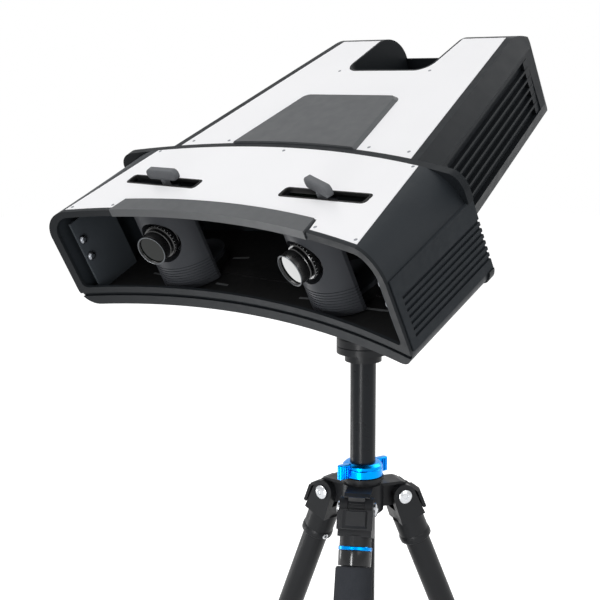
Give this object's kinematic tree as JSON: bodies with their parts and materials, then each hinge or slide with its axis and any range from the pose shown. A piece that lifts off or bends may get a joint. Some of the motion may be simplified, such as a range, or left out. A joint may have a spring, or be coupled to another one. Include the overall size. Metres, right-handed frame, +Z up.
{
  "type": "stereo 3D scanner on a tripod",
  "caption": "Structured-light stereo scanner with twin sliding cameras in a curved housing, tipped on a pan and tilt head over a three-legged column tripod.",
  "frame": {"origin": "on the floor, under the middle of the object's outer box", "axes": "+Z up, -Y the way the scanner looks, +X to the right of someone facing its lenses"},
  "size_m": [0.463, 0.4509, 0.9262],
  "materials": {
    "dark_plastic": "fine-grained moulded plastic",
    "grey_plastic": "fine-grained moulded plastic, a shade lighter",
    "white_plastic": "smooth satin panel",
    "grip_rubber": "soft ribbed rubber",
    "black_metal": "matt black paint",
    "lens_black": "black anodised",
    "lens_front": "coated glass in a black ring",
    "window_glass": "dark coated glass",
    "fan_plastic": "black moulded plastic",
    "board_green": "solder-masked board",
    "tripod_black": "semi-gloss black",
    "tripod_casting": "matt powder coat",
    "blue_metal": "blue anodised",
    "bolt_metal": "bright plated",
    "foam": "closed-cell foam",
    "foot_leg": "black tube with a rubber foot"
  },
  "bodies": {
    "spider": {"spider": "tripod_casting", "leg_bolts": "bolt_metal"},
    "collar": {"lock_collar": "blue_metal"},
    "column": {"column": "tripod_black", "head_base": "tripod_black"},
    "pan": {"pan_body": "tripod_black"},
    "pan_knob": {"pan_knob": "fan_plastic"},
    "tilt_knob": {"tilt_knob": "fan_plastic"},
    "scanner": {"front_shell_upper": "dark_plastic", "front_shell_lower": "dark_plastic", "front_rim": "dark_plastic", "rear_flange": "dark_plastic", "front_top_panel": "white_plastic", "brow_strip": "grey_plastic", "side_grips": "grip_rubber", "camera_tray": "black_metal", "end_brackets": "black_metal", "rear_cover": "dark_plastic", "rear_pan": "dark_plastic", "rear_top_panel": "white_plastic", "raised_cover": "grey_plastic", "louvre_grilles": "fan_plastic", "handle_recess": "dark_plastic", "rear_sockets": "fan_plastic", "projector_body": "black_metal", "projector_lens": "lens_black", "projector_window": "window_glass", "circuit_boards": "board_green", "fan_frame": "fan_plastic", "mounting_plate": "tripod_black", "tilt_cradle": "tripod_black"},
    "switch": {"power_switch": "fan_plastic"},
    "fan": {"fan_rotor": "fan_plastic"},
    "turret_left": {"camera_carriage_left": "black_metal", "camera_turret_left": "dark_plastic", "camera_left": "lens_black"},
    "iris_left": {"iris_ring_left": "lens_black"},
    "focus_left": {"focus_ring_left": "lens_black", "filter_ring_left": "lens_front"},
    "lever_left": {"slide_lever_left": "fan_plastic"},
    "turret_right": {"camera_carriage_right": "black_metal", "camera_turret_right": "dark_plastic", "camera_right": "lens_black"},
    "iris_right": {"iris_ring_right": "lens_black"},
    "focus_right": {"focus_ring_right": "lens_black", "filter_ring_right": "lens_front"},
    "lever_right": {"slide_lever_right": "fan_plastic"},
    "leg_1": {"leg_1": "tripod_casting", "foam_grip": "foam"},
    "tab_1": {"angle_tab_1": "tripod_casting"},
    "lock_1": {"twist_lock_1": "fan_plastic"},
    "lower_1": {"lower_leg_1": "foot_leg"},
    "leg_2": {"leg_2": "tripod_casting"},
    "tab_2": {"angle_tab_2": "tripod_casting"},
    "lock_2": {"twist_lock_2": "fan_plastic"},
    "lower_2": {"lower_leg_2": "foot_leg"},
    "leg_3": {"leg_3": "tripod_casting"},
    "tab_3": {"angle_tab_3": "tripod_casting"},
    "lock_3": {"twist_lock_3": "fan_plastic"},
    "lower_3": {"lower_leg_3": "foot_leg"}
  },
  "joints": [
    {"name": "column_slide", "type": "slide", "parent": "spider", "child": "column", "axis": [0, 0, 1], "range_m": [-0.1, 0.13]},
    {"name": "collar_twist", "type": "hinge", "parent": "spider", "child": "collar", "pos_m": [0, 0.02016, 0.46014], "axis": [0, 0, 1], "range_deg": [0, 60]},
    {"name": "pan", "type": "hinge", "parent": "column", "child": "pan", "pos_m": [0, 0.02016, 0.66444], "axis": [0, 0, 1], "continuous": true},
    {"name": "tilt", "type": "hinge", "parent": "pan", "child": "scanner", "pos_m": [0, 0.02016, 0.69844], "axis": [1, 0, 0], "range_deg": [-48, 32]},
    {"name": "tilt_knob_turn", "type": "hinge", "parent": "pan", "child": "tilt_knob", "pos_m": [-0.044, 0.02016, 0.69844], "axis": [-1, 0, 0], "range_deg": [0, 180]},
    {"name": "pan_knob_turn", "type": "hinge", "parent": "pan", "child": "pan_knob", "pos_m": [0, 0.05716, 0.65944], "axis": [0, 1, 0], "range_deg": [0, 180]},
    {"name": "fan_spin", "type": "hinge", "parent": "scanner", "child": "fan", "pos_m": [0.123, 0.02238, 0.79069], "axis": [0.9816, 0.1687, 0.0892], "continuous": true},
    {"name": "switch_rock", "type": "hinge", "parent": "scanner", "child": "switch", "pos_m": [0.051, 0.18302, 0.857], "axis": [0, -0.4676, 0.8839], "range_deg": [-10, 0]},
    {"name": "turret_slide_left", "type": "slide", "parent": "scanner", "child": "turret_left", "axis": [1, 0, 0], "range_m": [-0.047, 0.036]},
    {"name": "iris_turn_left", "type": "hinge", "parent": "turret_left", "child": "iris_left", "pos_m": [-0.10124, -0.16791, 0.72792], "axis": [0.1857, -0.8686, -0.4595], "range_deg": [-60, 60]},
    {"name": "focus_turn_left", "type": "hinge", "parent": "turret_left", "child": "focus_left", "pos_m": [-0.09929, -0.17703, 0.72309], "axis": [0.1857, -0.8686, -0.4595], "range_deg": [-150, 150]},
    {"name": "lever_turn_left", "type": "hinge", "parent": "turret_left", "child": "lever_left", "pos_m": [-0.107, -0.16343, 0.78459], "axis": [0, -0.4676, 0.8839], "range_deg": [-45, 45]},
    {"name": "turret_slide_right", "type": "slide", "parent": "scanner", "child": "turret_right", "axis": [1, 0, 0], "range_m": [-0.036, 0.047]},
    {"name": "iris_turn_right", "type": "hinge", "parent": "turret_right", "child": "iris_right", "pos_m": [0.10124, -0.16791, 0.72792], "axis": [-0.1857, -0.8686, -0.4595], "range_deg": [-60, 60]},
    {"name": "focus_turn_right", "type": "hinge", "parent": "turret_right", "child": "focus_right", "pos_m": [0.09929, -0.17703, 0.72309], "axis": [-0.1857, -0.8686, -0.4595], "range_deg": [-150, 150]},
    {"name": "lever_turn_right", "type": "hinge", "parent": "turret_right", "child": "lever_right", "pos_m": [0.107, -0.16343, 0.78459], "axis": [0, -0.4676, 0.8839], "range_deg": [-24, 66]},
    {"name": "leg_hinge_1", "type": "hinge", "parent": "spider", "child": "leg_1", "pos_m": [0.02373, -0.0157, 0.42964], "axis": [0.8339, 0.5519, 0], "range_deg": [0, 22.3]},
    {"name": "tab_slide_1", "type": "slide", "parent": "leg_1", "child": "tab_1", "axis": [0.5107, -0.7715, 0.3795], "range_m": [0, 0.006]},
    {"name": "lock_turn_1", "type": "hinge", "parent": "leg_1", "child": "lock_1", "pos_m": [0.09808, -0.12803, 0.10119], "axis": [-0.2094, 0.3164, 0.9252], "range_deg": [0, 60]},
    {"name": "lower_slide_1", "type": "slide", "parent": "leg_1", "child": "lower_1", "axis": [0.2094, -0.3164, -0.9252], "range_m": [0, 0.25]},
    {"name": "leg_hinge_2", "type": "hinge", "parent": "spider", "child": "leg_2", "pos_m": [0.01919, 0.05864, 0.42964], "axis": [-0.8949, 0.4462, 0], "range_deg": [0, 22.3]},
    {"name": "tab_slide_2", "type": "slide", "parent": "leg_2", "child": "tab_2", "axis": [0.4128, 0.828, 0.3795], "range_m": [0, 0.006]},
    {"name": "lock_turn_2", "type": "hinge", "parent": "leg_2", "child": "lock_2", "pos_m": [0.07929, 0.1792, 0.10119], "axis": [-0.1693, -0.3396, 0.9252], "range_deg": [0, 60]},
    {"name": "lower_slide_2", "type": "slide", "parent": "leg_2", "child": "lower_2", "axis": [0.1693, 0.3396, -0.9252], "range_m": [0, 0.25]},
    {"name": "leg_hinge_3", "type": "hinge", "parent": "spider", "child": "leg_3", "pos_m": [-0.04292, 0.01754, 0.42964], "axis": [0.061, -0.9981, 0], "range_deg": [0, 22.3]},
    {"name": "tab_slide_3", "type": "slide", "parent": "leg_3", "child": "tab_3", "axis": [-0.9235, -0.0565, 0.3795], "range_m": [0, 0.006]},
    {"name": "lock_turn_3", "type": "hinge", "parent": "leg_3", "child": "lock_3", "pos_m": [-0.17738, 0.00931, 0.10119], "axis": [0.3787, 0.0232, 0.9252], "range_deg": [0, 60]},
    {"name": "lower_slide_3", "type": "slide", "parent": "leg_3", "child": "lower_3", "axis": [-0.3787, -0.0232, -0.9252], "range_m": [0, 0.25]}
  ]
}
